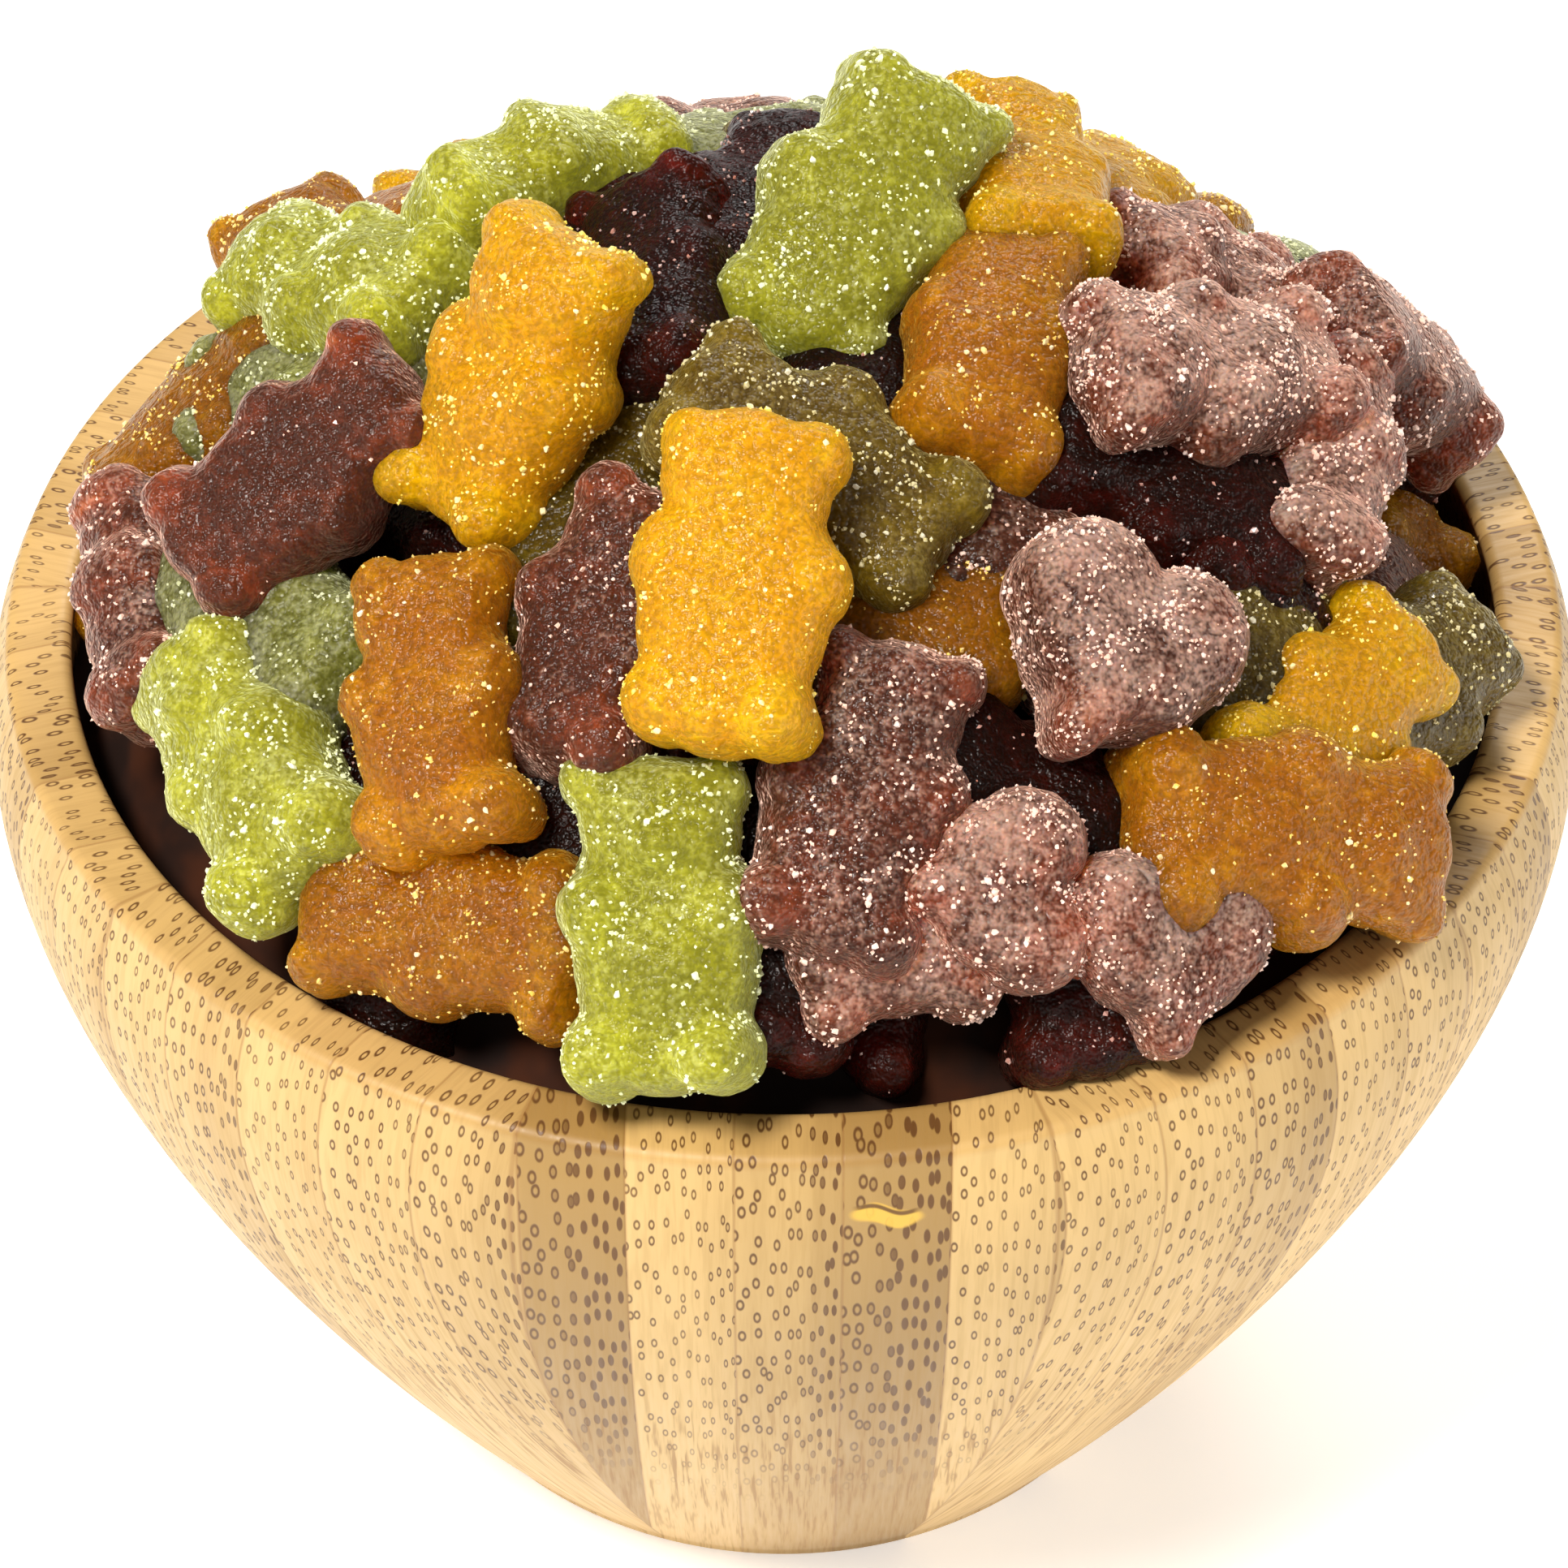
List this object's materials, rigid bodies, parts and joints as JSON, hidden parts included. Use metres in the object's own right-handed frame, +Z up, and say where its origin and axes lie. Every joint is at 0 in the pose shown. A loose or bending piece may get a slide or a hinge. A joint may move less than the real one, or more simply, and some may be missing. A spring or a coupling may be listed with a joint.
{
  "type": "bowl of gummy sweets",
  "caption": "Small turned bamboo bowl heaped above its rim with sugar-dusted gummy bears and hearts in yellow, green, brown and plum.",
  "frame": {"origin": "centre of the flat foot the bowl stands on", "axes": "+Z up along the bowl's turning axis; -Y towards the side the heap is seen from"},
  "size_m": [0.1182, 0.1182, 0.1179],
  "materials": {
    "bamboo": "smooth oiled bamboo laminate, pale walls with fine dark grain dots and a darker rim",
    "gummy": "translucent fruit jelly under a fine dusting of sugar"
  },
  "bodies": {
    "root": {"bowl": "bamboo", "gummy_heap": "gummy"}
  },
  "joints": []
}
